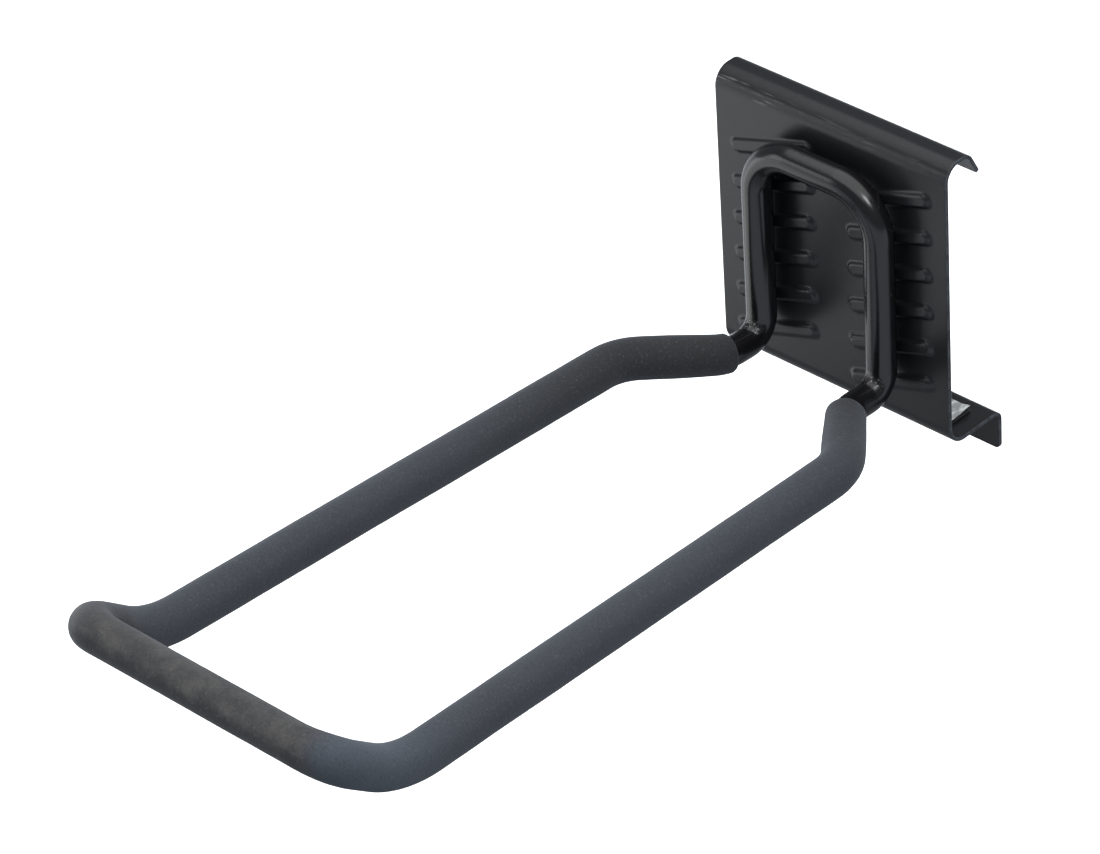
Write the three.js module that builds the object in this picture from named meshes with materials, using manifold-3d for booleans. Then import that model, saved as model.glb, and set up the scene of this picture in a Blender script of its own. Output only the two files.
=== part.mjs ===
// Bicycle wall rack: a sheet-steel bracket that hooks into a slatted wall panel, a bent tube loop
// welded to the front of it, and a foam sleeve over the arms that carry the bicycle.
// Millimetres, +Z up. The wall plane is y = 0 (back face of the plate) and the arms reach to -Y.
// The origin is on the plate's flat back face, on its centre line.

import * as THREE from 'three';
import { mergeVertices } from 'three/addons/utils/BufferGeometryUtils.js';
import Module from 'manifold-3d';

// ---------------------------------------------------------------- driving dimensions

const GAP = 0.3;                    // clearance left between touching pieces

// bracket: one strip of sheet bent into a top roll, a flat face, a shelf and a lip
const SHEET = 2.0;                  // sheet thickness
const PLATE_WIDTH = 141.4;
const SHELF_TOP = -75.2;            // height of the shelf's top face
const ROLL_TOP = 80.7;              // highest line of the roll that hangs on the upper slat
const ROLL_FRONT_INNER = 6.0;       // inner radius of the bend from the flat face to the roll's top
const ROLL_FLAT = 6.0;              // flat top of the roll
const ROLL_BACK_INNER = 4.0;        // inner radius of the bend from the top to the tail
const TAIL_ANGLE = 61 * Math.PI / 180;  // how far the tail is bent down
const TAIL_LENGTH = 10.9;
const FOOT_INNER = 9.0;             // inner radius of the bend from the flat face to the shelf
const LIP_INNER = 3.5;              // inner radius of the bend from the shelf to the lip
const LIP_BACK = 36.9;              // rear face of the lip, from the wall plane
const LIP_DROP = 22.8;              // lip height under the top of the shelf

// stiffening beads pressed forward out of the flat face, in two columns
const BEAD_ROWS = 6;
const BEAD_PITCH = 20.6;
const BEAD_FIRST = -52.0;           // height of the lowest bead's centre
const BEAD_X = 35.8;                // column centre from the middle of the plate
const BEAD_SPAN = 54.2;             // tip to tip
const BEAD_WIDTH = 8.6;
const BEAD_SLOPE = 18.4;            // degrees, rising to the right
const BEAD_HEIGHT = 1.9;

// tube loop: flat loop, folded at the foot of the legs and again near the front
const TUBE_D = 15.0;
const TUBE_WALL = 1.5;
const LEG_X = 37.6;                 // half spacing of the legs, on their axes
const LEG_TOP = 56.4;               // height of the arch axis
const ARCH_RADIUS = 23.5;
const FOOT_Z = -47.2;               // where the axis of the legs meets the plane of the arms
const FOOT_RADIUS = 11.7;
const ARM_RISE = 0.0434;            // upward slope of the arms, radians
const FOOT_DIP = 4.2;               // how far the feet hang under the plane of the arms
const DIP_START = -70;              // the dip grows from here, down the legs,
const DIP_FULL = 12;                // is whole this far on each side of the foot bend
const DIP_END = 85;                 // and has run out here, on the arms
const JOG_START = 23.5;             // the two bends that spread the legs out to the arms,
const JOG_END = 65.0;               // measured along the arm plane from the middle of the foot bend
const JOG_RADIUS_IN = 18.0;
const JOG_RADIUS_OUT = 33.0;
const ARM_X_BACK = 70.8;            // half spacing of the arms at the jog
const ARM_X_FRONT = 78.0;           // and at the cross bar
const LOOP_END = 415.7;             // axis of the cross bar, along the folded plane
const CORNER_RADIUS = 18.8;
const LIFT_START = 338.0;           // straight run of the arms before they curve up
const LIFT_RADIUS = 59.5;
const LIFT_ANGLE = 0.611;
const JOINT_GAP = 0.4;              // the tube ends meet in the middle of the cross bar

const STATION_TURN = 0.18;          // most the axis may turn between two cross sections, radians
const STATION_STEP = 60;            // most it may run between them
const RING_SEGMENTS = 8;            // half the number of sides round the tube

// foam sleeve and the strip stuck on the shelf
const FOAM_D = 21.2;
const FOAM_START = 22.3;            // along the arm plane, from the middle of the foot bend
const PAD_SPAN = 120.6;
const PAD_FRONT = 11.0;
const PAD_BACK = 25.8;
const PAD_THICK = 1.7;
const LINER_THICK = 0.4;

// ---------------------------------------------------------------- helpers

const wasm = await Module();
wasm.setup();

// Closed triangle mesh to a manifold solid, with the shading data dropped and corners shared.
function solid(geometry) {
  const bare = geometry.clone();
  bare.deleteAttribute('normal');
  bare.deleteAttribute('uv');
  const merged = mergeVertices(bare, 1e-4);
  return new wasm.Manifold(new wasm.Mesh({
    numProp: 3,
    vertProperties: new Float32Array(merged.attributes.position.array),
    triVerts: new Uint32Array(merged.index.array),
  }));
}

function toGeometry(manifold) {
  const mesh = manifold.getMesh();
  const geometry = new THREE.BufferGeometry();
  geometry.setAttribute('position', new THREE.BufferAttribute(new Float32Array(mesh.vertProperties), 3));
  geometry.setIndex(new THREE.BufferAttribute(new Uint32Array(mesh.triVerts), 1));
  geometry.computeVertexNormals();
  return geometry;
}

function named(name, geometry, color, roughness, metalness) {
  const material = new THREE.MeshStandardMaterial({ color, roughness, metalness });
  material.name = `${name}_finish`;
  const mesh = new THREE.Mesh(geometry, material);
  mesh.name = name;
  return mesh;
}

// A 2-D path through the given corners, each inner corner rounded to its own radius.
function filletedPath(corners, radii) {
  const path = new THREE.Path();
  path.moveTo(corners[0].x, corners[0].y);
  radii.forEach((radius, i) => {
    const corner = corners[i + 1];
    const back = corners[i].clone().sub(corner).normalize();
    const ahead = corners[i + 2].clone().sub(corner).normalize();
    const half = Math.acos(back.dot(ahead)) / 2;
    const start = corner.clone().addScaledVector(back, radius / Math.tan(half));
    const end = corner.clone().addScaledVector(ahead, radius / Math.tan(half));
    const towards = back.clone().add(ahead).normalize();
    const centre = corner.clone().addScaledVector(towards, radius / Math.sin(half));
    const clockwise = back.cross(ahead) > 0;
    path.lineTo(start.x, start.y);
    path.absarc(
      centre.x, centre.y, radius,
      Math.atan2(start.y - centre.y, start.x - centre.x),
      Math.atan2(end.y - centre.y, end.x - centre.x),
      clockwise,
    );
  });
  const last = corners[corners.length - 1];
  path.lineTo(last.x, last.y);
  return path;
}

// ---------------------------------------------------------------- bracket

// Side profile of the bent strip, drawn in (y, z) and extruded across the width.
function bracketProfile() {
  const frontOuter = ROLL_FRONT_INNER + SHEET;
  const backOuter = ROLL_BACK_INNER + SHEET;
  const footOuter = FOOT_INNER + SHEET;
  const lipOuter = LIP_INNER + SHEET;
  const flatTop = ROLL_TOP - frontOuter;
  const flatFoot = SHELF_TOP + FOOT_INNER;
  const lipTip = SHELF_TOP - LIP_DROP;
  const lipY = LIP_BACK - lipOuter;
  const lipZ = SHELF_TOP - lipOuter;
  // centre of the bend to the tail, and the middle of the tail's rounded end
  const backY = ROLL_FRONT_INNER + ROLL_FLAT;
  const backZ = ROLL_TOP - backOuter;
  const tail = Math.PI / 2 - TAIL_ANGLE;
  const along = [Math.sin(tail) * TAIL_LENGTH, -Math.cos(tail) * TAIL_LENGTH];
  const across = (radius) => [
    backY + radius * Math.cos(tail) + along[0], backZ + radius * Math.sin(tail) + along[1],
  ];
  const [endY, endZ] = across(ROLL_BACK_INNER + SHEET / 2);
  const profile = new THREE.Shape();
  profile.moveTo(-SHEET, flatTop);
  profile.absarc(ROLL_FRONT_INNER, flatTop, frontOuter, Math.PI, Math.PI / 2, true);
  profile.absarc(backY, backZ, backOuter, Math.PI / 2, tail, true);
  profile.lineTo(...across(backOuter));
  profile.absarc(endY, endZ, SHEET / 2, tail, tail - Math.PI, true);
  profile.absarc(backY, backZ, ROLL_BACK_INNER, tail, Math.PI / 2, false);
  profile.absarc(ROLL_FRONT_INNER, flatTop, ROLL_FRONT_INNER, Math.PI / 2, Math.PI, false);
  profile.lineTo(0, flatFoot);
  profile.absarc(FOOT_INNER, flatFoot, FOOT_INNER, Math.PI, Math.PI * 1.5, false);
  profile.lineTo(lipY, SHELF_TOP);
  profile.absarc(lipY, lipZ, lipOuter, Math.PI / 2, 0, true);
  profile.lineTo(LIP_BACK, lipTip);
  profile.lineTo(LIP_BACK - SHEET, lipTip);
  profile.lineTo(LIP_BACK - SHEET, lipZ);
  profile.absarc(lipY, lipZ, LIP_INNER, 0, Math.PI / 2, false);
  profile.lineTo(FOOT_INNER, SHELF_TOP - SHEET);
  profile.absarc(FOOT_INNER, flatFoot, footOuter, Math.PI * 1.5, Math.PI, true);
  profile.closePath();
  return profile;
}

// A long rounded ridge standing forward of the plane y = 0 on a straight root `sink` deep behind it.
function ridge(length, width, height, sink) {
  const shoulder = 0.85 * height;
  const straight = (length - width) / 2;
  const outline = new THREE.Shape();
  outline.absarc(straight, 0, width / 2 - shoulder, -Math.PI / 2, Math.PI / 2, false);
  outline.absarc(-straight, 0, width / 2 - shoulder, Math.PI / 2, Math.PI * 1.5, false);
  outline.closePath();
  const geometry = new THREE.ExtrudeGeometry(outline, {
    depth: sink + height,
    curveSegments: 5,
    bevelThickness: shoulder,
    bevelSize: shoulder,
    bevelSegments: 3,
  });
  geometry.translate(0, 0, -sink - shoulder);
  geometry.rotateX(Math.PI / 2);
  const behind = new THREE.BoxGeometry(2 * length, 2 * length, 2 * length);
  behind.translate(0, sink + length, 0);
  return solid(geometry).subtract(solid(behind));
}

function bracket() {
  const strip = new THREE.ExtrudeGeometry(bracketProfile(), {
    depth: PLATE_WIDTH,
    curveSegments: 10,
    bevelEnabled: false,
  });
  // profile (y, z) with its depth along x: cycle the axes into place
  strip.translate(0, 0, -PLATE_WIDTH / 2);
  strip.applyMatrix4(new THREE.Matrix4().makeBasis(
    new THREE.Vector3(0, 1, 0), new THREE.Vector3(0, 0, 1), new THREE.Vector3(1, 0, 0),
  ));
  let body = solid(strip);
  const crest = ridge(BEAD_SPAN, BEAD_WIDTH, BEAD_HEIGHT, SHEET / 2);
  const hollow = ridge(BEAD_SPAN - 2.4, BEAD_WIDTH - 2.4, BEAD_HEIGHT, SHEET / 2);
  for (const side of [-1, 1]) {
    for (let row = 0; row < BEAD_ROWS; row += 1) {
      const z = BEAD_FIRST + row * BEAD_PITCH;
      const front = crest.rotate([0, -BEAD_SLOPE, 0]).translate([side * BEAD_X, -SHEET, z]);
      const back = hollow.rotate([0, -BEAD_SLOPE, 0]).translate([side * BEAD_X, 0, z]);
      body = body.add(front).subtract(back);
    }
  }
  return toGeometry(body);
}

// ---------------------------------------------------------------- tube loop and sleeve

// Side view of the folded loop: distance s along its plane to (y, z). Negative s climbs the legs.
const LEG_Y = -(SHEET + BEAD_HEIGHT + GAP + TUBE_D / 2);

function smoothStep(value, low, high) {
  const t = Math.min(Math.max((value - low) / (high - low), 0), 1);
  return t * t * (3 - 2 * t);
}

function fold(s) {
  const [y, z] = foldedFlat(s);
  const dip = smoothStep(s, DIP_START, -DIP_FULL) * (1 - smoothStep(s, DIP_FULL, DIP_END));
  return [y, z - FOOT_DIP * dip];
}

function foldedFlat(s) {
  const turn = Math.PI / 2 + ARM_RISE;
  const arc = FOOT_RADIUS * turn;
  const tangent = FOOT_RADIUS * Math.tan(turn / 2);
  const bendTop = FOOT_Z + tangent;
  if (s < -arc / 2) return [LEG_Y, bendTop - arc / 2 - s];
  if (s < arc / 2) {
    const a = (s + arc / 2) / FOOT_RADIUS;
    return [LEG_Y - FOOT_RADIUS * (1 - Math.cos(a)), bendTop - FOOT_RADIUS * Math.sin(a)];
  }
  const run = s - arc / 2;
  const startY = LEG_Y - FOOT_RADIUS * (1 - Math.cos(turn));
  const startZ = bendTop - FOOT_RADIUS * Math.sin(turn);
  const straight = Math.min(run, LIFT_START);
  const bend = Math.min(Math.max(run - LIFT_START, 0) / LIFT_RADIUS, LIFT_ANGLE);
  const rest = Math.max(run - LIFT_START - LIFT_RADIUS * LIFT_ANGLE, 0);
  // forward and upward amounts measured in the arms' own plane, then tipped by the arms' slope
  const forward = straight + LIFT_RADIUS * Math.sin(bend) + rest * Math.cos(LIFT_ANGLE);
  const up = LIFT_RADIUS * (1 - Math.cos(bend)) + rest * Math.sin(LIFT_ANGLE);
  const c = Math.cos(ARM_RISE);
  const n = Math.sin(ARM_RISE);
  return [startY - forward * c + up * n, startZ + forward * n + up * c];
}

// Cross sections of the right half of the loop, from the middle of the arch to the joint in the
// cross bar: close together in the bends, far apart on the straights.
function halfLoop() {
  const turn = Math.PI / 2 + ARM_RISE;
  const legRun = LEG_TOP - FOOT_Z - FOOT_RADIUS * Math.tan(turn / 2) + (FOOT_RADIUS * turn) / 2;
  const corners = [
    [0, -legRun], [LEG_X, -legRun], [LEG_X, JOG_START], [ARM_X_BACK, JOG_END],
    [ARM_X_FRONT, LOOP_END], [JOINT_GAP / 2, LOOP_END],
  ].map(([x, s]) => new THREE.Vector2(x, s));
  const flat = filletedPath(corners, [ARCH_RADIUS, JOG_RADIUS_IN, JOG_RADIUS_OUT, CORNER_RADIUS]);
  const count = Math.round(flat.getLength() / 0.5);
  const axis = [];
  for (let i = 0; i <= count; i += 1) {
    const { x, y: s } = flat.getPointAt(i / count);
    axis.push({ s, point: new THREE.Vector3(x, ...fold(s)) });
  }
  axis.forEach((here, i) => {
    const before = axis[Math.max(i - 1, 0)].point;
    const after = axis[Math.min(i + 1, count)].point;
    here.tangent = after.clone().sub(before).normalize();
  });
  axis[0].tangent.set(1, 0, 0);
  axis[count].tangent.set(-1, 0, 0);
  const stations = [axis[0]];
  for (let i = 1; i < count; i += 1) {
    const here = axis[i];
    const last = stations[stations.length - 1];
    const bent = last.tangent.angleTo(here.tangent) > STATION_TURN;
    const far = last.point.distanceTo(here.point) > STATION_STEP;
    const sleeveEnd = last.s < FOAM_START && here.s >= FOAM_START;
    if (bent || far || sleeveEnd) stations.push(here);
  }
  stations.push(axis[count]);
  return stations;
}

// The other half, seen in the mirror plane x = 0 and walked the other way.
function mirrored(stations) {
  return stations.map(({ s, point, tangent }) => ({
    s,
    point: new THREE.Vector3(-point.x, point.y, point.z),
    tangent: new THREE.Vector3(tangent.x, -tangent.y, -tangent.z),
  })).reverse();
}

function reversed(stations) {
  return stations.map(({ s, point, tangent }) => ({ s, point, tangent: tangent.clone().negate() }))
    .reverse();
}

// A curve that visits the given cross sections one per step.
class SectionCurve extends THREE.Curve {
  constructor(stations) {
    super();
    this.stations = stations;
  }

  at(u) {
    return this.stations[Math.round(u * (this.stations.length - 1))];
  }

  getPointAt(u, target = new THREE.Vector3()) {
    return target.copy(this.at(u).point);
  }

  getTangentAt(u, target = new THREE.Vector3()) {
    return target.copy(this.at(u).tangent);
  }
}

function pipe(stations, outer, inner) {
  const ring = new THREE.Shape();
  ring.absarc(0, 0, outer / 2, 0, Math.PI * 2, false);
  const bore = new THREE.Path();
  bore.absarc(0, 0, inner / 2, 0, Math.PI * 2, true);
  ring.holes.push(bore);
  const geometry = new THREE.ExtrudeGeometry(ring, {
    steps: stations.length - 1,
    extrudePath: new SectionCurve(stations),
    curveSegments: RING_SEGMENTS,
    bevelEnabled: false,
  });
  return toGeometry(solid(geometry));
}

// ---------------------------------------------------------------- strip on the shelf

function strip(bottom, height) {
  const geometry = new THREE.BoxGeometry(PAD_SPAN, PAD_BACK - PAD_FRONT, height);
  geometry.translate(0, (PAD_FRONT + PAD_BACK) / 2, bottom + height / 2);
  return geometry;
}

// ---------------------------------------------------------------- assembly

const half = halfLoop();
const tubeSections = [...mirrored(half), ...half.slice(1)];
const covered = half.filter(({ s }) => s >= FOAM_START);
const sleeveSections = [...reversed(mirrored(covered)), ...reversed(covered).slice(1)];
const padBottom = SHELF_TOP + GAP;

const group = new THREE.Group();
group.name = 'bicycle_wall_rack';
group.add(named('back_plate', bracket(), 0x2b2d30, 0.42, 0.3));
group.add(named('tube_loop', pipe(tubeSections, TUBE_D, TUBE_D - 2 * TUBE_WALL), 0x1c1d20, 0.22, 0.3));
group.add(named('foam_sleeve', pipe(sleeveSections, FOAM_D, TUBE_D + 2 * GAP), 0x3a3c40, 0.95, 0));
group.add(named('shelf_pad', strip(padBottom, PAD_THICK), 0x26272a, 0.9, 0));
group.add(named('pad_liner', strip(padBottom + PAD_THICK + GAP, LINER_THICK), 0xd2d6d4, 0.7, 0));

export default group;
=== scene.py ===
# %% [markdown]
# # A bicycle wall rack
# A bent steel bracket hooks into a slatted wall panel, and a loop of tube welded to its front
# carries the bicycle on two foam-covered arms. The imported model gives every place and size; this
# lesson rebuilds each piece finely on top of it and gives it a finish. All lengths are metres.

import math

import bpy
from mathutils import Matrix, Vector


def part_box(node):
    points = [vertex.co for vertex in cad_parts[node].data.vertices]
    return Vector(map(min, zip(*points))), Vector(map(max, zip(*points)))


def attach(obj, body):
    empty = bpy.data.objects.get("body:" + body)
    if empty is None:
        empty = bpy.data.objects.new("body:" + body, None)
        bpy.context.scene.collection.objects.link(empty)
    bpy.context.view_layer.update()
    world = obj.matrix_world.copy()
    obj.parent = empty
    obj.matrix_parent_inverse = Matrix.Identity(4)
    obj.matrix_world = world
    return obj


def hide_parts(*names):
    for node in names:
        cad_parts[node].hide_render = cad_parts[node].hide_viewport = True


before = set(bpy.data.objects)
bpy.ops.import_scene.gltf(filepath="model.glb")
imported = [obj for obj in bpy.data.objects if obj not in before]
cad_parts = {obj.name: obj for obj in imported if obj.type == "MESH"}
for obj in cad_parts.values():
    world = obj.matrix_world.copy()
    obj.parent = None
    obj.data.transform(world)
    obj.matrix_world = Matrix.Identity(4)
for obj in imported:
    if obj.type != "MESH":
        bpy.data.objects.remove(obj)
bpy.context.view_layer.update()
print("pieces in the frame:", sorted(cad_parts))

MM = 0.001

# %% [markdown]
# ## Working with nodes
# Both shaders and shapes are node trees here. Adding nodes by hand is long, so one method adds any
# node: its settings first, then its sockets by name or number. A socket comes back wrapped, and the
# wrapper understands plain arithmetic, so that `1 - mask * 0.5` adds the Math nodes by itself.


# %% A socket that takes part in arithmetic
class Wire:
    """One output socket of a node tree; sums on it add Math nodes."""

    def __init__(self, bench, socket):
        self.bench, self.socket = bench, socket

    def other(self, output):
        """Another output of the same node."""
        return Wire(self.bench, self.socket.node.outputs[output])

    def __add__(self, value):
        return self.bench.maths("ADD", self, value)

    def __sub__(self, value):
        return self.bench.maths("SUBTRACT", self, value)

    def __mul__(self, value):
        return self.bench.maths("MULTIPLY", self, value)

    def __truediv__(self, value):
        return self.bench.maths("DIVIDE", self, value)

    def __rsub__(self, value):
        return self.bench.maths("SUBTRACT", value, self)

    def __rtruediv__(self, value):
        return self.bench.maths("DIVIDE", value, self)

    __radd__, __rmul__ = __add__, __mul__


# %% A bench that adds any node
class Bench:
    """Adds nodes to one tree."""

    def __init__(self, tree):
        self.tree = tree

    def node(self, kind, settings=None, sockets=None, output=0):
        """One node of any kind, as a wire from the output that is wanted."""
        made = self.tree.nodes.new(kind)
        for setting, value in (settings or {}).items():
            setattr(made, setting, value)
        for socket, value in (sockets or {}).items():
            if isinstance(value, Wire):
                self.tree.links.new(value.socket, made.inputs[socket])
            else:
                made.inputs[socket].default_value = value
        return Wire(self, made.outputs[output]) if made.outputs else made

    def maths(self, operation, *values):
        return self.node("ShaderNodeMath", {"operation": operation}, dict(enumerate(values)))

    def ramp_between(self, value, low, high, to_low=0.0, to_high=1.0):
        """A smooth step from to_low at low to to_high at high."""
        return self.node(
            "ShaderNodeMapRange",
            {"interpolation_type": "SMOOTHSTEP"},
            {"Value": value, 1: low, 2: high, 3: to_low, 4: to_high},
        )

    def parts_of(self, vector):
        """The x, y and z of a vector."""
        x = self.node("ShaderNodeSeparateXYZ", sockets={0: vector})
        return x, x.other("Y"), x.other("Z")


# %% [markdown]
# ## Finishes
# The rack has two hard finishes and three soft ones. The bracket and the tube wear a black baked
# coat: almost no colour of its own, so what the eye reads is the blurred reflection of the room,
# broken by a faint orange peel, thin places on cut edges and a few rubs; on the bracket, painted
# reflections also lighten the cut edges and the tail's inner face. The sleeve is closed-cell foam:
# matt, blue-black, with fine pale cells. Everything varies over Object coordinates, which are the
# frame's own metres, so the grain has its real size on every piece.


# %% What all finishes share
class Finish(Bench):
    """A material with one Principled shader; constants sit on the shader's own sockets."""

    def __init__(self, name, **constants):
        self.material = bpy.data.materials.new(name)
        self.material.use_nodes = True
        super().__init__(self.material.node_tree)
        self.tree.nodes.clear()
        shader = self.node("ShaderNodeBsdfPrincipled", sockets=constants)
        self.surface = shader
        self.out = self.node("ShaderNodeOutputMaterial", sockets={"Surface": shader})
        self.place = self.node("ShaderNodeTexCoord", output="Object")

    def noise(self, per_metre, detail=2.0, rough=0.5, place=None):
        return self.node(
            "ShaderNodeTexNoise",
            sockets={"Vector": place or self.place, "Scale": per_metre, "Detail": detail,
                     "Roughness": rough},
        )

    def stretched(self, scale, turn=(0.0, 0.0, 0.0)):
        """Coordinates squeezed by a different amount each way, for streaks and rubs."""
        return self.node(
            "ShaderNodeMapping", sockets={"Vector": self.place, "Scale": scale, "Rotation": turn}
        )

    def blend(self, factor, first, second):
        return self.node(
            "ShaderNodeMix", {"data_type": "RGBA"}, {0: factor, 6: first, 7: second}, output=2
        )

    def bump(self, height, distance, strength=1.0, below=None):
        sockets = {"Height": height, "Distance": distance, "Strength": strength}
        if below:
            sockets["Normal"] = below
        return self.node("ShaderNodeBump", sockets=sockets)

    def connect(self, **wires):
        """Links wires to the shader's sockets; Base_Color means the socket Base Color."""
        shader = self.surface.socket.node
        for name, wire in wires.items():
            self.tree.links.new(wire.socket, shader.inputs[name.replace("_", " ")])
        return self.material


def grey(level, warm=0.0, cool=0.0):
    """A grey with its red and blue shifted by a share of its level."""
    return (level * (1 + warm), level, level * (1 + cool), 1.0)


# %% [markdown]
# ### Baked coat of the bracket
# Real powder coat could be a flat black with a gloss value, but then the plate looks like paper.
# Three cheap layers make it metal: orange peel in the normal, cloudy roughness, and a pale bluish
# line on the cut edges of the sheet, partly where the coat draws back and partly a painted
# reflection.

# %% Coat of the bracket
plate_low, plate_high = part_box("back_plate")
half_width = plate_high.x


def bracket_coat():
    coat = Finish("bracket_baked_coat", **{"Specular IOR Level": 0.4, "IOR": 1.5})
    x, y, z = coat.parts_of(coat.place)
    peel = coat.noise(700.0, detail=1.0)
    cloud = coat.noise(28.0, detail=4.0, rough=0.6)
    dust = coat.ramp_between(coat.noise(2600.0, detail=1.0), 0.66, 0.78)

    # pale bluish line on the cut sides of the sheet: thin coat, and partly a painted reflection
    sideways = coat.maths("ABSOLUTE", x)
    side = coat.ramp_between(sideways, half_width - 0.7 * MM, half_width - 0.2 * MM)
    patchy = coat.ramp_between(coat.noise(240.0, detail=3.0), 0.36, 0.62)
    edge = side * (0.35 + patchy * 0.65)

    # rubs where the top roll meets the flat face, from stacking one rack on another
    streak = coat.noise(1.0, detail=3.0, place=coat.stretched((45.0, 900.0, 900.0), (0, 0.05, 0)))
    near_roll = coat.ramp_between(z, 71 * MM, 74 * MM) * coat.ramp_between(z, 79.5 * MM, 77 * MM)
    front = coat.ramp_between(y, 4 * MM, 1 * MM)
    rub = coat.ramp_between(streak, 0.54, 0.64) * near_roll * front
    left_end = coat.ramp_between(x, -25 * MM, -50 * MM, 0.12, 1.0)
    rub = rub * left_end * coat.ramp_between(coat.noise(45.0), 0.40, 0.60)

    # painted reflection: the inner face of the tail, facing down and forward, is painted pale as if
    # it mirrored the bright room
    _, facing_y, facing_z = coat.parts_of(coat.node("ShaderNodeNewGeometry", output="Normal"))
    inner = coat.ramp_between(facing_y * -0.8 - facing_z * 0.6, 0.75, 0.92)
    tail_painted_reflection = inner * coat.ramp_between(y, 8 * MM, 12 * MM) * coat.ramp_between(z, 64 * MM, 66 * MM)
    tail_painted_reflection = tail_painted_reflection * (0.55 + coat.noise(170.0, detail=3.0) * 0.7)

    thick_coat = grey(0.0090, warm=-0.06, cool=0.14)
    thin_coat = grey(0.0135, warm=-0.05, cool=0.12)
    tone = coat.blend(cloud, thick_coat, thin_coat)
    tone = coat.blend(dust * 0.10, tone, grey(0.12))
    tone = coat.blend(rub * 0.85, tone, grey(0.36))
    # painted reflection on the tail's inner face
    tone = coat.blend(tail_painted_reflection * 0.9, tone, grey(0.50, cool=0.06))
    # the cut edges: thin coat, with a bluish tone that is partly a painted reflection
    tone = coat.blend(edge * 0.5, tone, grey(0.15, warm=-0.12, cool=0.18))
    rough = 0.27 + cloud * 0.10 + edge * 0.1 + rub * 0.2
    relief = coat.bump(peel, 0.06 * MM, 0.35)
    relief = coat.bump(cloud, 0.5 * MM, 0.25, below=relief)
    return coat.connect(Base_Color=tone, Roughness=rough, Normal=relief)


plate_finish = bracket_coat()
print("finish:", plate_finish.name)

# %% [markdown]
# ### Baked coat of the tube
# The same coat flows better over drawn tube, so it is glossier. Two marks tell how the loop was
# made and used: the inside of each tight foot bend is puckered, with the coat chipped off the
# crests, and a few short scuffs follow the tube. An attribute stored while the tube is swept says
# where it is puckered.

# %% Coat of the tube


def tube_coat():
    coat = Finish("tube_baked_coat", **{"Specular IOR Level": 0.5, "IOR": 1.5})
    pucker = coat.node("ShaderNodeAttribute", {"attribute_name": "pucker"}, output="Fac")
    peel = coat.noise(520.0, detail=1.0)
    cloud = coat.noise(45.0, detail=3.0)
    chips = coat.ramp_between(coat.noise(900.0, detail=3.0, rough=0.7), 0.54, 0.64) * pucker

    streak = coat.noise(1.0, detail=3.0, place=coat.stretched((900.0, 700.0, 160.0), (0, 0.5, 0)))
    rub = coat.ramp_between(streak, 0.70, 0.74) * coat.ramp_between(coat.noise(55.0), 0.56, 0.66)

    tone = coat.blend(cloud, grey(0.0058, cool=0.08), grey(0.0085, cool=0.12))
    tone = coat.blend(rub * 0.5, tone, grey(0.28))
    tone = coat.blend(chips * 0.8, tone, grey(0.30, warm=0.08))
    rough = 0.17 + cloud * 0.08 + pucker * 0.10 + rub * 0.15
    relief = coat.bump(peel, 0.05 * MM, 0.30)
    relief = coat.bump(coat.noise(620.0, detail=3.0) * pucker, 0.5 * MM, 0.7, below=relief)
    return coat.connect(Base_Color=tone, Roughness=rough, Normal=relief)


tube_finish = tube_coat()
print("finish:", tube_finish.name)

# %% [markdown]
# ### Closed-cell foam
# Foam tube is blown, so its skin is a crowd of tiny cells: pale flecks and shallow pits well under
# a millimetre across. Grazing light catches the cell walls, which is what sheen does. The cross bar
# at the front takes the knocks, so it is warmer and patchy. Painted shade darkens its underside and
# the feet near the wall, and a painted reflection makes the right front corner pale and blue.

# %% Foam of the sleeve
sleeve_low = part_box("foam_sleeve")[0]


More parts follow.
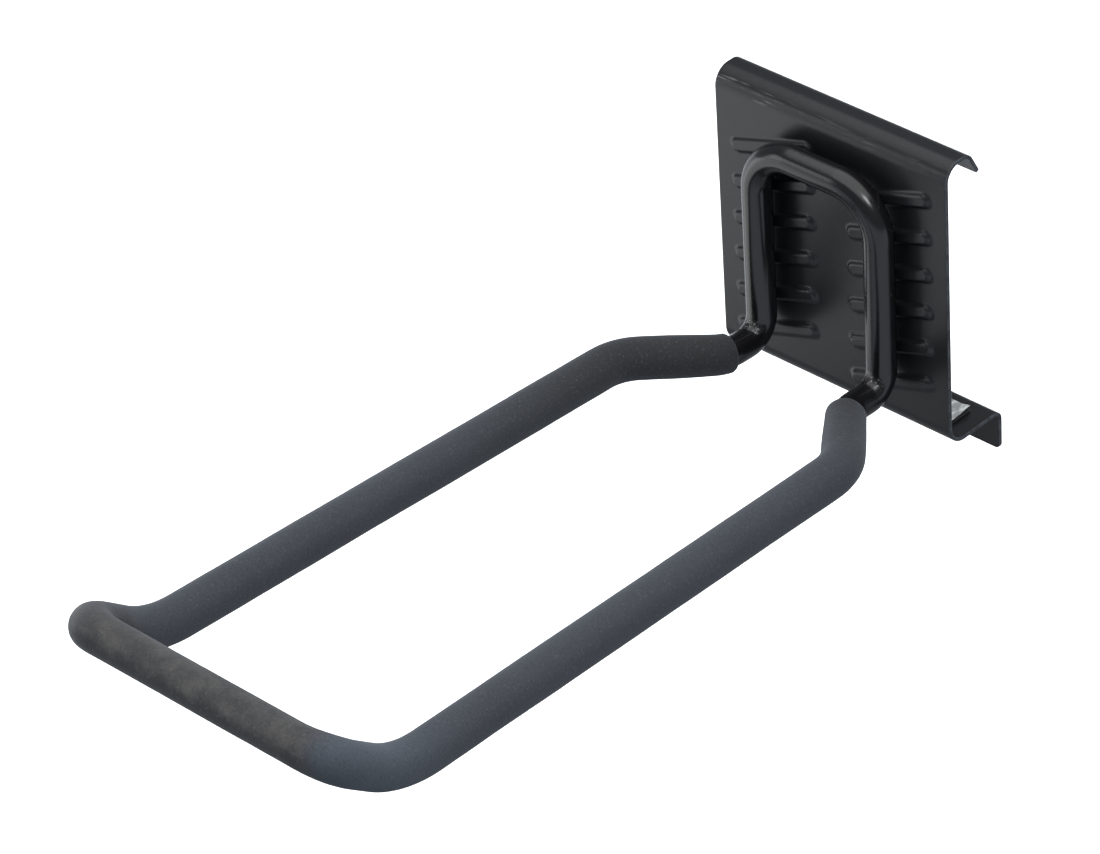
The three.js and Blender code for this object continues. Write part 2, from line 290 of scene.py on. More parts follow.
def sleeve_foam():
    foam = Finish(
        "sleeve_closed_cell_foam",
        **{"Specular IOR Level": 0.28, "Sheen Weight": 0.22, "Sheen Roughness": 0.55,
           "Sheen Tint": (0.82, 0.9, 1.0, 1.0)},
    )
    x, y, _ = foam.parts_of(foam.place)
    cells = foam.noise(850.0, detail=3.0, rough=0.65)
    pits = foam.node("ShaderNodeTexVoronoi", sockets={"Vector": foam.place, "Scale": 820.0})
    cloud = foam.noise(30.0, detail=4.0, rough=0.55)
    blotch = foam.noise(75.0, detail=5.0, rough=0.65)

    fleck = foam.ramp_between(cells, 0.56, 0.72)
    speck = foam.ramp_between(cells, 0.45, 0.30)

    dark_foam = grey(0.047, warm=-0.10, cool=0.20)
    tone = foam.blend(cloud, dark_foam, grey(0.062, warm=-0.08, cool=0.18))
    rubbed = foam.blend(
        foam.ramp_between(blotch, 0.36, 0.66), grey(0.048, warm=0.02, cool=0.02),
        grey(0.082, warm=0.05, cool=-0.06),
    )

    # painted shade: the feet are darker near the wall, further along the left arm than the right
    on_left = foam.ramp_between(x, 20 * MM, -20 * MM)
    painted_shade_near_wall = foam.ramp_between(y, -230 * MM, -60 * MM) * on_left
    painted_shade_near_wall = painted_shade_near_wall + foam.ramp_between(y, -110 * MM, -30 * MM) * (1 - on_left)
    tone = foam.blend(painted_shade_near_wall * 0.95, tone, grey(0.026, warm=-0.04, cool=0.05))

    # painted reflection: the right front corner is painted pale and blue; the bar is rubbed, with
    # painted shade underneath
    corner = foam.ramp_between(y, -330 * MM, -405 * MM) * foam.ramp_between(x, 56 * MM, 76 * MM)
    tone = foam.blend(corner, tone, grey(0.085, warm=-0.16, cool=0.24))
    worn = foam.ramp_between(y, sleeve_low.y + 45 * MM, sleeve_low.y + 24 * MM)
    worn = worn * foam.ramp_between(x, 80 * MM, 62 * MM)
    tone = foam.blend(worn, tone, rubbed)
    # painted shade: the bar is darkened where its skin faces down
    _, _, facing_up = foam.parts_of(foam.node("ShaderNodeNewGeometry", output="Normal"))
    painted_shade_underneath = foam.ramp_between(facing_up + blotch * 0.8, 1.10, 0.50) * worn
    tone = foam.blend(painted_shade_underneath * 0.85, tone, grey(0.018, warm=0.03, cool=-0.04))

    tone = foam.blend(fleck * 0.30, tone, grey(0.17, cool=0.06))
    tone = foam.blend(speck * 0.45, tone, grey(0.020))
    rough = 0.80 + cloud * 0.12 - fleck * 0.08
    relief = foam.bump(pits, 0.16 * MM, 0.55)
    relief = foam.bump(cells, 0.10 * MM, 0.6, below=relief)
    relief = foam.bump(blotch, 0.7 * MM, 0.25, below=relief)
    return foam.connect(Base_Color=tone, Roughness=rough, Normal=relief)


foam_finish = sleeve_foam()
print("finish:", foam_finish.name)

# %% [markdown]
# ### Strip on the shelf
# The strip that keeps the shelf from rattling is a softer black foam with open cells, and its
# sticky side still has the pale release paper on it, crinkled and a little translucent.

# %% Foam and paper of the strip


def strip_foam():
    foam = Finish("strip_soft_foam", **{"Specular IOR Level": 0.2, "Sheen Weight": 0.2,
                                        "Sheen Roughness": 0.5})
    cells = foam.node("ShaderNodeTexVoronoi", sockets={"Vector": foam.place, "Scale": 1300.0})
    cloud = foam.noise(160.0, detail=3.0)
    tone = foam.blend(foam.ramp_between(cells, 0.1, 0.7), grey(0.008), grey(0.024, cool=0.05))
    relief = foam.bump(cells, 0.2 * MM, 0.7)
    return foam.connect(Base_Color=tone, Roughness=0.82 + cloud * 0.12, Normal=relief)


def release_paper():
    paper = Finish("liner_release_paper", **{"Specular IOR Level": 0.4})
    across_folds = paper.stretched((330.0, 130.0, 300.0), (0, 0, 0.5))
    creases = paper.noise(1.0, detail=3.0, place=across_folds)
    cloud = paper.noise(420.0, detail=4.0, rough=0.6)
    fold = paper.ramp_between(creases, 0.38, 0.62)
    # painted shade: the paper is dark in the hollows of its folds and pale on their crests
    tone = paper.blend(fold, grey(0.36, warm=-0.04), grey(0.85, warm=-0.03, cool=-0.03))
    relief = paper.bump(fold, 0.25 * MM, 0.5)
    relief = paper.bump(cloud, 0.12 * MM, 0.5, below=relief)
    return paper.connect(Base_Color=tone, Roughness=0.42 + cloud * 0.25, Normal=relief)


pad_finish, liner_finish = strip_foam(), release_paper()
print("finishes:", pad_finish.name, liner_finish.name)

# %% [markdown]
# ## Shape recipes
# A main piece whose shape follows a rule is a Geometry Nodes tree with named inputs. The recipe
# class below opens such a tree, and `make` runs it once on a base mesh, together with any finishing
# modifier, and keeps the result as a plain mesh at the origin.


# %% A tree with named inputs
class Recipe(Bench):
    """A Geometry Nodes tree; `sizes` are its inputs with their values."""

    def __init__(self, name, **sizes):
        super().__init__(bpy.data.node_groups.new(name, "GeometryNodeTree"))
        sockets = self.tree.interface
        sockets.new_socket("Geometry", in_out="INPUT", socket_type="NodeSocketGeometry")
        sockets.new_socket("Geometry", in_out="OUTPUT", socket_type="NodeSocketGeometry")
        self.values = {}
        for size, value in sizes.items():
            kind = "NodeSocketInt" if isinstance(value, int) else "NodeSocketFloat"
            item = sockets.new_socket(size, in_out="INPUT", socket_type=kind)
            self.values[item.identifier] = value
        self.base = self.node("NodeGroupInput", output="Geometry")

    def size(self, name):
        return self.base.other(name)

    def finish(self, shape, material):
        shape = self.node("GeometryNodeRealizeInstances", sockets={0: shape})
        shape = self.node("GeometryNodeSetShadeSmooth", sockets={0: shape})
        shape = self.node(
            "GeometryNodeSetMaterial", sockets={"Geometry": shape, "Material": material}
        )
        self.node("NodeGroupOutput", sockets={0: shape})
        return self


def keep_as_mesh(piece):
    """Runs every modifier once and keeps the plain mesh."""
    graph = bpy.context.evaluated_depsgraph_get()
    mesh = bpy.data.meshes.new_from_object(
        piece.evaluated_get(graph), preserve_all_data_layers=True, depsgraph=graph
    )
    piece.modifiers.clear()
    piece.data = mesh
    mesh.name = piece.name
    print(f"{piece.name}: {sum(len(p.vertices) - 2 for p in mesh.polygons)} triangles")
    return piece


def make(name, base, recipe, finishing=()):
    piece = bpy.data.objects.new(name, base)
    bpy.context.scene.collection.objects.link(piece)
    shaping = piece.modifiers.new("shape", "NODES")
    shaping.node_group = recipe.tree
    for identifier, value in recipe.values.items():
        shaping[identifier] = value
    for kind, settings in finishing:
        modifier = piece.modifiers.new(kind.lower(), kind)
        for setting, value in settings.items():
            setattr(modifier, setting, value)
    return keep_as_mesh(piece)


def line_mesh(name, points, **attributes):
    """A chain of points joined by edges, with numbers stored on the points."""
    mesh = bpy.data.meshes.new(name)
    mesh.from_pydata(points, [(i, i + 1) for i in range(len(points) - 1)], [])
    for attribute, values in attributes.items():
        mesh.attributes.new(attribute, "FLOAT", "POINT").data.foreach_set("value", values)
    return mesh


# %% [markdown]
# ## The bracket
# A press brake makes the bracket from one strip of 2 mm sheet: a roll at the top that hangs on the
# upper slat, a flat face, a shelf and a lip. Its side view is walked like a path, straight or round
# a bend, and the rows of a grid are laid along that walk. It could be modelled by hand with edge
# loops, but the walk keeps every bend at its true radius.

# %% Side view of the strip
SHEET = 2.0 * MM
SHELF_UNDER = -77.2 * MM    # underside of the shelf
FOOT_OUTER = 11.0 * MM      # radii are those of the strip's front face, round each bend
ROLL_FRONT, ROLL_BACK = 9.5 * MM, 7.5 * MM
ROLL_FLAT = 3.5 * MM        # flat top of the roll, between its two bends
TAIL_ANGLE, TAIL_LENGTH = math.radians(61), 10.8 * MM
TAIL_CORNER, LIP_CORNER = 1.6 * MM, 3.0 * MM
LIP_INNER = 3.5 * MM
FLAT_FOOT = SHELF_UNDER + FOOT_OUTER
FLAT_TOP = plate_high.z - ROLL_FRONT
lip_front = plate_high.y - SHEET


def walk(start, heading, steps):
    """Points (y, z) of a walk. A step is (length, spacing) or (angle, radius, spacing)."""
    (y, z), points = start, [start]
    for step in steps:
        if len(step) == 2:
            length, spacing = step
            count = max(1, round(length / spacing))
            for i in range(1, count + 1):
                along = length * i / count
                points.append((y + along * math.cos(heading), z + along * math.sin(heading)))
        else:
            angle, radius, spacing = step
            side = math.copysign(math.pi / 2, angle)
            centre = (y + radius * math.cos(heading + side), z + radius * math.sin(heading + side))
            count = max(4, round(abs(angle) * radius / spacing))
            for i in range(1, count + 1):
                turned = heading - side + angle * i / count
                points.append((centre[0] + radius * math.cos(turned),
                               centre[1] + radius * math.sin(turned)))
            heading += angle
        y, z = points[-1]
    return points


back_bend_y = ROLL_FRONT - SHEET + ROLL_FLAT
tail_end = (
    back_bend_y + ROLL_BACK * math.sin(TAIL_ANGLE) + TAIL_LENGTH * math.cos(TAIL_ANGLE),
    plate_high.z - ROLL_BACK * (1 - math.cos(TAIL_ANGLE)) - TAIL_LENGTH * math.sin(TAIL_ANGLE),
)
side_view = walk(
    tail_end, math.pi - TAIL_ANGLE,
    [
        (TAIL_CORNER, 0.4 * MM),
        (TAIL_LENGTH - TAIL_CORNER, 1.3 * MM),
        (TAIL_ANGLE, ROLL_BACK, 0.8 * MM),
        (ROLL_FLAT, 1.2 * MM),
        (math.pi / 2, ROLL_FRONT, 0.9 * MM),
        (FLAT_TOP - FLAT_FOOT, 0.68 * MM),
        (math.pi / 2, FOOT_OUTER, 1.2 * MM),
        (lip_front - LIP_INNER - (FOOT_OUTER - SHEET), 2.0 * MM),
        (-math.pi / 2, LIP_INNER, 0.7 * MM),
        (SHELF_UNDER - LIP_INNER - plate_low.z - LIP_CORNER, 1.6 * MM),
        (LIP_CORNER, 0.35 * MM),
    ],
)


def corner_inset(from_tip, radius):
    """How far a rounded corner has drawn the side in, at a distance from the tip."""
    short = max(radius - from_tip, 0.0)
    return radius - math.sqrt(max(radius**2 - short**2, 0.0))


tail_gap = [math.dist(place, side_view[0]) for place in side_view]
lip_gap = [math.dist(place, side_view[-1]) for place in side_view]
inset = [corner_inset(a, TAIL_CORNER) + corner_inset(b, LIP_CORNER)
         for a, b in zip(tail_gap, lip_gap)]
print(f"side view: {len(side_view)} rows, ends at z = {side_view[-1][1] / MM:.1f} mm")

# %% [markdown]
# Two columns of slanted beads are pressed forward out of the flat face to stiffen it. All twelve
# are one rule: find the nearest bead line, measure the distance to its middle segment, and raise
# the sheet where that distance is small. The legs of the loop are welded to their crests.

# %% Recipe for the bracket
COLUMNS = 142
BEAD_RIM = 1.9 * MM         # width of a bead's sloping edge
FACE_LIMIT = -1.99 * MM     # only points on the flat's front face are raised


def bracket_recipe():
    r = Recipe(
        "bent_strip", Width=2 * half_width, Columns=COLUMNS, Rows=len(side_view),
        Bead_Pitch=20.6 * MM, Lowest_Bead=-52.0 * MM, Last_Bead=5.0, Column_Offset=35.8 * MM,
        Bead_Length=54.2 * MM, Bead_Width=8.6 * MM, Bead_Height=1.9 * MM, Slope=math.radians(18.4),
    )
    grid = r.node(
        "GeometryNodeMeshGrid",
        sockets={0: r.size("Width"), 1: 1.0, 2: r.size("Columns"), 3: r.size("Rows")},
    )
    across, _, _ = r.parts_of(r.node("GeometryNodeInputPosition"))
    row = r.maths("MODULO", r.node("GeometryNodeInputIndex"), r.size("Rows"))
    place = r.node(
        "GeometryNodeSampleIndex", {"data_type": "FLOAT_VECTOR"},
        {"Geometry": r.base, "Value": r.node("GeometryNodeInputPosition"), "Index": row},
    )
    _, y, z = r.parts_of(place)
    inset = r.node(
        "GeometryNodeSampleIndex", {"data_type": "FLOAT"},
        {"Geometry": r.base, "Index": row, "Value": r.node(
            "GeometryNodeInputNamedAttribute", {"data_type": "FLOAT"}, {"Name": "inset"})},
    )
    across = across * (1 - inset * 2.0 / r.size("Width"))

    # offsets from the nearest bead's centre, then turned into along and beside the bead
    slope = r.size("Slope")
    dx = r.maths("ABSOLUTE", across) - r.size("Column_Offset")
    dx = dx * r.maths("SIGN", across)
    level = (z - dx * r.maths("TANGENT", slope) - r.size("Lowest_Bead")) / r.size("Bead_Pitch")
    nearest = r.maths("MINIMUM", r.maths("ROUND", level), r.size("Last_Bead"))
    nearest = r.maths("MAXIMUM", nearest, 0.0)
    dz = z - (r.size("Lowest_Bead") + nearest * r.size("Bead_Pitch"))
    cosine, sine = r.maths("COSINE", slope), r.maths("SINE", slope)
    along = dx * cosine + dz * sine
    beside = dz * cosine - dx * sine
    reach = (r.size("Bead_Length") - r.size("Bead_Width")) * 0.5
    past = r.maths("MAXIMUM", r.maths("ABSOLUTE", along) - reach, 0.0)
    away = r.maths("SQRT", past * past + beside * beside)
    rim = r.size("Bead_Width") * 0.5
    raised = r.ramp_between(away, rim, rim - BEAD_RIM) * r.size("Bead_Height")
    on_face = r.maths("LESS_THAN", y, FACE_LIMIT)

    target = r.node(
        "ShaderNodeCombineXYZ", sockets={0: across, 1: y - raised * on_face, 2: z}
    )
    bent = r.node("GeometryNodeSetPosition", sockets={"Geometry": grid, "Position": target})
    return r.finish(bent, plate_finish)


# %% Make the bracket
SOLIDIFY = ("SOLIDIFY", {"thickness": SHEET, "offset": 1.0})
ROUND_EDGES = (
    "BEVEL",
    {"width": 0.35 * MM, "segments": 2, "limit_method": "ANGLE", "angle_limit": math.radians(75),
     "use_clamp_overlap": False},
)
bracket = make(
    "bracket",
    line_mesh("bracket_side_view", [(0.0, y, z) for y, z in side_view], inset=inset),
    bracket_recipe(), [SOLIDIFY, ROUND_EDGES],
)


def report_box(piece):
    low = [min(v.co[i] for v in piece.data.vertices) / MM for i in range(3)]
    high = [max(v.co[i] for v in piece.data.vertices) / MM for i in range(3)]
    print(piece.name, "from", [round(v, 1) for v in low], "to", [round(v, 1) for v in high], "mm")


def outward(piece):
    """Signed volume of the mesh: positive when its faces point outwards."""
    piece.data.calc_loop_triangles()
    corners = [v.co for v in piece.data.vertices]
    volume = sum(
        corners[t.vertices[0]].dot(corners[t.vertices[1]].cross(corners[t.vertices[2]]))
        for t in piece.data.loop_triangles
    ) / 6
    print(f"{piece.name}: volume {volume * 1e6:.1f} cm3")
    return volume


report_box(bracket)
outward(bracket)

# %% [markdown]
# ## The tube loop
# The bender first makes a flat loop, with an arch at the top, a jog that spreads the legs out to
# the arms, and two corners at the front. It is then folded at the feet of the legs and curved up
# near the front. The lesson does the same: a flat path with rounded corners, then one function that
# folds a distance along the loop into a place in the side view.

# %% The loop's sizes and its fold
LEG_Y = -11.7 * MM          # axis of the legs, one radius in front of the bead crests
LEG_X = 37.6 * MM
LEG_TOP = 56.4 * MM
ARCH_RADIUS = 23.5 * MM
FOOT_Z = -47.2 * MM
FOOT_RADIUS = 11.7 * MM
ARM_RISE = 0.0434           # radians
JOG_START, JOG_END = 23.5 * MM, 65.0 * MM
DIP = 3.9 * MM              # how far the feet hang under the plane of the arms
JOG_RADIUS_IN, JOG_RADIUS_OUT = 18.0 * MM, 33.0 * MM
ARM_X_BACK, ARM_X_FRONT = 70.8 * MM, 78.0 * MM
LOOP_END = 415.7 * MM
CORNER_RADIUS = 18.8 * MM
LIFT_START, LIFT_RADIUS, LIFT_ANGLE = 338.0 * MM, 59.5 * MM, 0.611
TUBE_RADIUS = 7.5 * MM
foot_turn = math.pi / 2 + ARM_RISE


def smooth_step(value, low, high):
    t = min(max((value - low) / (high - low), 0.0), 1.0)
    return t * t * (3 - 2 * t)


def fold(run):
    """Distance along the flat loop from the middle of the foot bend, to (y, z)."""
    arc, tangent = FOOT_RADIUS * foot_turn, FOOT_RADIUS * math.tan(foot_turn / 2)
    top = FOOT_Z + tangent
    turned = min(max((run + arc / 2) / FOOT_RADIUS, 0.0), foot_turn)
    y = LEG_Y - FOOT_RADIUS * (1 - math.cos(turned))
    z = top - FOOT_RADIUS * math.sin(turned) + max(-arc / 2 - run, 0.0)
    rest = max(run - arc / 2, 0.0)
    lift = min(max(rest - LIFT_START, 0.0) / LIFT_RADIUS, LIFT_ANGLE)
    beyond = max(rest - LIFT_START - LIFT_RADIUS * LIFT_ANGLE, 0.0)
    ahead = min(rest, LIFT_START) + LIFT_RADIUS * math.sin(lift) + beyond * math.cos(LIFT_ANGLE)
    up = LIFT_RADIUS * (1 - math.cos(lift)) + beyond * math.sin(LIFT_ANGLE)
    foot = smooth_step(run, -70 * MM, -12 * MM) * (1 - smooth_step(run, 12 * MM, 70 * MM))
    return (y - ahead * math.cos(ARM_RISE) + up * math.sin(ARM_RISE),
            z + ahead * math.sin(ARM_RISE) + up * math.cos(ARM_RISE) - DIP * foot)


# %% The flat loop
def rounded_path(corners, radii, spacing):
    """Points along straight runs joined by arcs, at about the given spacing."""
    corners = [Vector(c) for c in corners]
    points = [corners[0]]
    for i, radius in enumerate(radii, start=1):
        back = (corners[i - 1] - corners[i]).normalized()
        ahead = (corners[i + 1] - corners[i]).normalized()
        half = back.angle(ahead) / 2
        centre = corners[i] + (back + ahead).normalized() * (radius / math.sin(half))
        start = corners[i] + back * (radius / math.tan(half)) - centre
        sweep = (math.pi - 2 * half) * (1 if back.cross(ahead) < 0 else -1)
        count = max(6, round(abs(sweep) * radius / spacing))
        for k in range(count + 1):
            points.append(centre + Matrix.Rotation(sweep * k / count, 2) @ start)
    points.append(corners[-1])
    return points


def evenly(points, spacing):
    """The same path with its long gaps filled in."""
    filled = [points[0]]
    for a, b in zip(points, points[1:]):
        count = max(1, round((b - a).length / spacing))
        filled += [a.lerp(b, k / count) for k in range(1, count + 1)]
    return filled


leg_run = LEG_TOP - FOOT_Z - FOOT_RADIUS * math.tan(foot_turn / 2) + FOOT_RADIUS * foot_turn / 2
JOINT_HALF = 0.2 * MM
half_loop = evenly(
    rounded_path(
        [(0, -leg_run), (LEG_X, -leg_run), (LEG_X, JOG_START), (ARM_X_BACK, JOG_END),
         (ARM_X_FRONT, LOOP_END), (JOINT_HALF, LOOP_END)],
        [ARCH_RADIUS, JOG_RADIUS_IN, JOG_RADIUS_OUT, CORNER_RADIUS], 1.3 * MM,
    ),
    1.6 * MM,
)
right_half = [(p.x, *fold(p.y)) for p in reversed(half_loop)]
left_half = [(-p.x, *fold(p.y)) for p in half_loop[1:]]
loop_axis = right_half + left_half
loop_run = [p.y for p in reversed(half_loop)] + [p.y for p in half_loop[1:]]
loop_length = sum((Vector(b) - Vector(a)).length for a, b in zip(loop_axis, loop_axis[1:]))
print(f"loop: {len(loop_axis)} points, {loop_length / MM:.0f} mm of tube")

# %% [markdown]
# The tube is the path swept by a circle. While it is swept, each point keeps its distance from the
# foot bend, so that the recipe can pucker the inside of that bend, where the wall is squeezed.

# %% Recipe for the tube
PUCKER_REACH = 9.5 * MM     # along the tube, either way from the middle of the bend
DIAGONAL = 0.7071           # the inside of the bend faces up and back, at 45 degrees


def tube_recipe():
    r = Recipe("swept_tube", Radius=TUBE_RADIUS, Sides=44, Pucker_Depth=0.55 * MM, Pucker_Seed=4.0)
    path = r.node("GeometryNodeMeshToCurve", sockets={0: r.base})
    ring = r.node(
        "GeometryNodeCurvePrimitiveCircle", sockets={0: r.size("Sides"), 4: r.size("Radius")}
    )
    tube = r.node("GeometryNodeCurveToMesh", sockets={"Curve": path, "Profile Curve": ring,
                                                      "Fill Caps": True})
    run = r.node("GeometryNodeInputNamedAttribute", {"data_type": "FLOAT"}, {"Name": "run"})
    normal = r.node("GeometryNodeInputNormal")
    _, towards_y, towards_z = r.parts_of(normal)
    inside = r.ramp_between((towards_z - towards_y) * DIAGONAL, 0.45, 0.95)
    close = r.ramp_between(r.maths("ABSOLUTE", run + 1.0 * MM), PUCKER_REACH, PUCKER_REACH * 0.35)
    pucker = inside * close
    crumple = r.node(
        "ShaderNodeTexNoise", {"noise_dimensions": "4D"},
        {"Vector": r.node("GeometryNodeInputPosition"), "W": r.size("Pucker_Seed"), "Scale": 420.0,
         "Detail": 2.0},
    )
    depth = (crumple - 0.5) * pucker * r.size("Pucker_Depth") * 2.0
    push = r.node("ShaderNodeVectorMath", {"operation": "SCALE"}, {0: normal, "Scale": depth})
    tube = r.node(
        "GeometryNodeStoreNamedAttribute", {"data_type": "FLOAT", "domain": "POINT"},
        {"Geometry": tube, "Name": "pucker", "Value": pucker},
    )
    tube = r.node("GeometryNodeSetPosition", sockets={"Geometry": tube, "Offset": push})
    return r.finish(tube, tube_finish)


tube = make("tube", line_mesh("tube_axis", loop_axis, run=loop_run), tube_recipe())
report_box(tube)
outward(tube)

# %% [markdown]
# ## The foam sleeve
# Foam tube is pushed over the arms before the loop is closed. It is stretched thin round the two
# front corners and along the cross bar, swells where it is squeezed in the jogs, and its cut ends
# are drawn in a little. The recipe sweeps the same path and adds those swellings, then the skin is
# given a wall on its inner side.

# %% Sleeve sizes along the loop
FOAM_START_LEFT, FOAM_START_RIGHT = 20.6 * MM, 25.5 * MM
FOAM_RADIUS = 10.6 * MM
BAR_RADIUS = 9.7 * MM
FOAM_WALL = 1.9 * MM        # less than the space to the steel, so the two never touch


def foam_swell(run, x):
    """How much the skin stands off the nominal radius at a point of the loop."""
    from_end = run - (FOAM_START_RIGHT if x > 0 else FOAM_START_LEFT)
    cut = -0.9 * MM * (1 - smooth_step(from_end, 0, 2.2 * MM))
    drawn_in = -0.7 * MM * (1 - smooth_step(from_end, 0, 26 * MM))
    on_bar = smooth_step(run, LOOP_END - 16 * MM, LOOP_END)
    stretched = (BAR_RADIUS - FOAM_RADIUS) * on_bar * (1 - smooth_step(abs(x), 56 * MM, 80 * MM))
    return cut + drawn_in + stretched


# the loop is listed from the joint in its cross bar; the sleeve runs from one foot to the other
turned_round = loop_axis[len(right_half):] + loop_axis[:len(right_half)]
turned_run = loop_run[len(right_half):] + loop_run[:len(right_half)]
sleeve_axis, sleeve_swell = [], []
for point, run in zip(turned_round, turned_run):
    if run >= (FOAM_START_RIGHT if point[0] > 0 else FOAM_START_LEFT):
        sleeve_axis.append(point)
        sleeve_swell.append(foam_swell(run, point[0]))
print(f"sleeve: {len(sleeve_axis)} points, from x {sleeve_axis[0][0] / MM:.1f} to "
      f"{sleeve_axis[-1][0] / MM:.1f} mm")

# %% Recipe for the sleeve


def sleeve_recipe():
    r = Recipe("foam_over_tube", Radius=FOAM_RADIUS, Sides=56, Unevenness=0.28 * MM, Seed=11.0)
    path = r.node("GeometryNodeMeshToCurve", sockets={0: r.base})
    ring = r.node(
        "GeometryNodeCurvePrimitiveCircle", sockets={0: r.size("Sides"), 4: r.size("Radius")}
    )
    skin = r.node("GeometryNodeCurveToMesh", sockets={"Curve": path, "Profile Curve": ring})
    swell = r.node("GeometryNodeInputNamedAttribute", {"data_type": "FLOAT"}, {"Name": "swell"})
    wave = r.node(
        "ShaderNodeTexNoise", {"noise_dimensions": "4D"},
        {"Vector": r.node("GeometryNodeInputPosition"), "W": r.size("Seed"), "Scale": 26.0,
         "Detail": 3.0},
    )
    depth = swell + (wave - 0.5) * r.size("Unevenness") * 2.0
    push = r.node(
        "ShaderNodeVectorMath", {"operation": "SCALE"},
        {0: r.node("GeometryNodeInputNormal"), "Scale": depth},
    )
    skin = r.node("GeometryNodeSetPosition", sockets={"Geometry": skin, "Offset": push})
    return r.finish(skin, foam_finish)


sleeve = make(
    "sleeve",
    line_mesh("sleeve_axis", sleeve_axis, swell=sleeve_swell),
    sleeve_recipe(),
    [
        ("SOLIDIFY", {"thickness": FOAM_WALL, "offset": -1.0}),
        ("BEVEL", {"width": 0.6 * MM, "segments": 3, "limit_method": "ANGLE",
                   "angle_limit": math.radians(60)}),
    ],
)
report_box(sleeve)
outward(sleeve)

# %% [markdown]
# ## The strip on the shelf
# A strip of foam tape lies on the shelf and still has its paper on. Both are small and soft, so
# they are built straight as grids: the foam as a cushion with rounded edges that rests flat, the
# paper as a thin sheet with crinkles and a corner that has lifted.

# %% A soft block from a grid


def soft_block(name, low, high, cells, lift, thick):
    """A slab whose top follows lift(u, v); its foot stays flat and its edges are rounded."""
    nx, ny = cells
    wide, deep = high.x - low.x, high.y - low.y
    verts, faces = [], []
    for top in (0, 1):
        for i in range(nx + 1):
            for j in range(ny + 1):
                u, v = i / nx, j / ny
                edge = min(u * wide, (1 - u) * wide, v * deep, (1 - v) * deep)
                z = low.z + lift(u, v, edge) + (thick(edge) if top else 0.0)
                verts.append((low.x + u * wide, low.y + v * deep, z))
    layer = (nx + 1) * (ny + 1)
    for top in (0, 1):
        for i in range(nx):
            for j in range(ny):
                a = top * layer + i * (ny + 1) + j
                quad = (a, a + ny + 1, a + ny + 2, a + 1)
                faces.append(quad if top else quad[::-1])
    rim = [i * (ny + 1) for i in range(nx + 1)]
    rim += [nx * (ny + 1) + j for j in range(1, ny + 1)]
    rim += [i * (ny + 1) + ny for i in range(nx - 1, -1, -1)]
    rim += [j for j in range(ny - 1, 0, -1)]
    for a, b in zip(rim, rim[1:] + rim[:1]):
        faces.append((a, b, b + layer, a + layer))
    mesh = bpy.data.meshes.new(name)
    mesh.from_pydata(verts, [], faces)
    mesh.shade_smooth()
    piece = bpy.data.objects.new(name, mesh)
    bpy.context.scene.collection.objects.link(piece)
    return piece


# %% Make the strip and its paper
pad_low, pad_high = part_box("shelf_pad")
liner_low, liner_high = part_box("pad_liner")
PAD_THICK = pad_high.z - pad_low.z
PAPER_THICK = 0.16 * MM


def pad_thickness(edge):
    return PAD_THICK * (0.55 + 0.45 * smooth_step(edge, 0, 1.1 * MM))


def crinkle(u, v, edge):
    """Folds across the paper, with the near corner lifted."""
    x, y = u * 120.0, v * 15.0
    folds = (math.sin(x * 0.9 + 1.7 * math.sin(y * 0.6)) + math.sin(x * 0.37 - y * 0.8 + 1.0)
             + 0.6 * math.sin(x * 2.1 + y * 1.3))
    corner = smooth_step(u, 0.955, 1.0) * smooth_step(v, 0.2, 1.0)
    return (0.10 * folds + 0.25) * MM * smooth_step(edge, -1 * MM, 3 * MM) + 1.1 * MM * corner


pad = soft_block("strip_pad", pad_low, pad_high, (120, 18), lambda *_: 0.0, pad_thickness)
paper = soft_block("strip_paper", liner_low, liner_high, (260, 32), crinkle, lambda _: PAPER_THICK)
for piece, material in ((pad, pad_finish), (paper, liner_finish)):
    piece.data.materials.append(material)
    report_box(piece)
    outward(piece)

# %% [markdown]
# ## What each piece stands for
# Nothing on the rack moves, so all pieces ride on the one body. Each finer piece replaces its plain
# solid, which is hidden.

# %% Put the pieces on the body
for piece, node, slot in (
    (bracket, "back_plate", "plate_coat"),
    (tube, "tube_loop", "tube_coat"),
    (sleeve, "foam_sleeve", "sleeve_foam"),
    (pad, "shelf_pad", "pad_foam"),
    (paper, "pad_liner", "liner_paper"),
):
    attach(piece, "root")
    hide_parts(node)

# %% [markdown]
# ## Stage, light and camera
# A plain pale floor lies well below the rack, as if it hung in a bright room, so no shadow falls
# near it. Black coat shows little but what it mirrors, so the floor's part in the gloss matters: a
# studio floor is dim under the object and brighter away from it, so in reflections alone the floor
# glows with a soft slope of grey, a painted reflection with a painted shadow under the rack. The
# floor's bounce is kept off the foam, whose undersides are dark.

# %% Floor and room
FLOOR_Z = -0.75
FLOOR_HALF = 15             # metres each way, past the edge of any view


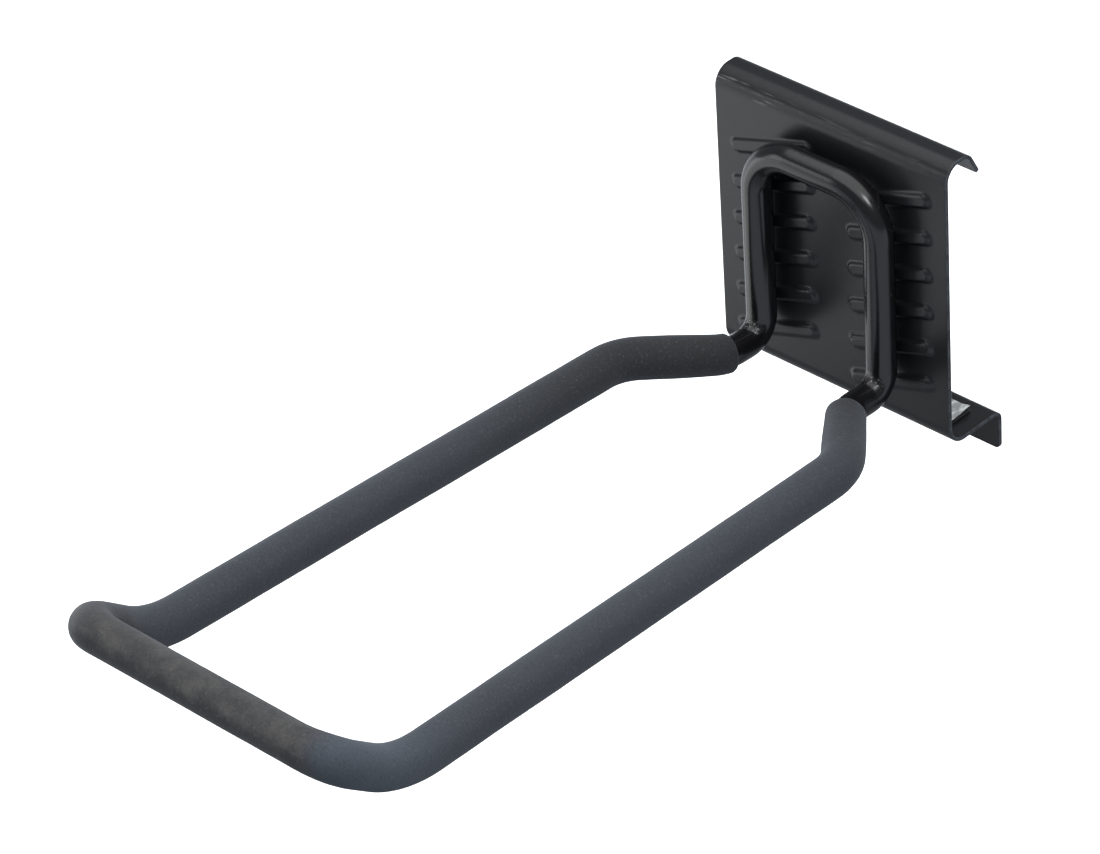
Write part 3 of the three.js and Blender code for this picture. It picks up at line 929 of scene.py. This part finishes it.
def floor_finish():
    """Pale paint; in reflections it glows instead, a painted reflection that is dim under the rack
    as a painted shadow and brighter away from it.
    """
    paint = Finish("pale_floor_paint", **{"Specular IOR Level": 0.1})
    tone = paint.blend(paint.noise(1.5, detail=2.0), grey(0.86), grey(0.90))
    paint.connect(Base_Color=tone, Roughness=0.85 + paint.noise(6.0) * 0.1)
    x, y, _ = paint.parts_of(paint.place)
    behind = paint.ramp_between(y - x, 0.3, 1.5)
    in_front = paint.ramp_between(x - y, 0.2, 1.4)
    painted_shadow_under_rack = grey(0.30, warm=-0.05, cool=0.08)
    slope = paint.blend(behind, painted_shadow_under_rack, grey(1.10, warm=-0.04, cool=0.06))
    slope = paint.blend(in_front, slope, grey(0.85, warm=-0.08, cool=0.12))
    # painted reflection: the floor glows in glossy rays only
    glow = paint.node("ShaderNodeEmission", sockets={"Color": slope, "Strength": 1.0})
    in_gloss = paint.node("ShaderNodeLightPath", output="Is Glossy Ray")
    mixed = paint.node("ShaderNodeMixShader", sockets={0: in_gloss, 1: paint.surface, 2: glow})
    paint.tree.links.new(mixed.socket, paint.out.inputs["Surface"])
    return paint.material


floor_mesh = bpy.data.meshes.new("floor")
floor_corners = [(x * FLOOR_HALF, y * FLOOR_HALF, FLOOR_Z)
                 for x, y in ((-1, -1), (1, -1), (1, 1), (-1, 1))]
floor_mesh.from_pydata(floor_corners, [], [(0, 1, 2, 3)])
floor_mesh.materials.append(floor_finish())
floor = bpy.data.objects.new("floor", floor_mesh)
bpy.context.scene.collection.objects.link(floor)
floor.visible_diffuse = False
print("floor at", FLOOR_Z, "m")

# %% [markdown]
# The room is white to the camera and a dim, slightly blue grey to everything else, as a studio's
# far walls are. A white world would be simpler, but it would wash out the black.

# %% The room's own light
room = bpy.data.worlds.new("studio_room")
room.use_nodes = True
walls = Bench(room.node_tree)
walls.tree.nodes.clear()
seen = walls.node("ShaderNodeLightPath", output="Is Camera Ray")
dim, pale = (
    walls.node("ShaderNodeBackground", sockets={"Color": colour, "Strength": strength})
    for colour, strength in (((0.86, 0.93, 1.0, 1.0), 0.27), ((1.0, 1.0, 1.0, 1.0), 1.0))
)
mixed = walls.node("ShaderNodeMixShader", sockets={0: seen, 1: dim, 2: pale})
walls.node("ShaderNodeOutputWorld", sockets={"Surface": mixed})
bpy.context.scene.world = room
bpy.context.scene.view_settings.view_transform = "Standard"
print("room:", room.name)

# %% [markdown]
# One large soft light above does most of the work. A low card on the left lights the plate, a
# third light draws the rims of the legs, and a small one puts the bright spot on the arch's
# shoulder. The wash is linked to the floor alone, and keeps it evenly white.

# %% Lights


def lamp(name, kind, place, target, watts, size=None, colour=(1.0, 1.0, 1.0)):
    data = bpy.data.lights.new(name, kind)
    data.energy, data.color = watts, colour
    if size:
        data.shape, data.size = "SQUARE", size
    light = bpy.data.objects.new(name, data)
    light.location = place
    light.rotation_euler = (Vector(target) - Vector(place)).to_track_quat("-Z", "Y").to_euler()
    light.visible_camera = False
    bpy.context.scene.collection.objects.link(light)
    print("light:", name)
    return light


lamp("top_light", "AREA", (0.0, -0.3, 2.0), (0, -0.2, 0), 48.0, 3.0)
lamp("left_card", "AREA", (-0.46, -0.34, -0.18), (0, 0, 0.03), 0.85, 0.45)
lamp("front_light", "AREA", (-1.5, -1.5, 0.5), (0, 0, 0), 6.0, 0.9)
lamp("crown_light", "AREA", (1.15, -0.45, 1.5), (0.02, 0, 0.05), 9.0, 0.55, (0.97, 0.98, 1.0))
wash = lamp("floor_wash", "SUN", (0, 0, 3), (0, 0, 0), 4.0)
floor_only = bpy.data.collections.new("lit_by_the_wash")
floor_only.objects.link(floor)
wash.light_linking.receiver_collection = floor_only

# %% [markdown]
# The camera is far off with a long lens, so the arms hardly draw together. It looks down over the
# right front corner, and is rolled a little.

# %% Camera
camera_data = bpy.data.cameras.new("camera")
camera_data.sensor_width, camera_data.lens = 36.0, 180.69
camera = bpy.data.objects.new("camera", camera_data)
camera.location = (1.44336, -1.63019, 1.45379)
camera.rotation_euler = [math.radians(a) for a in (54.6325, 3.1889, 42.9462)]
bpy.context.scene.collection.objects.link(camera)
bpy.context.scene.camera = camera
print("camera", tuple(round(v, 3) for v in camera.location))
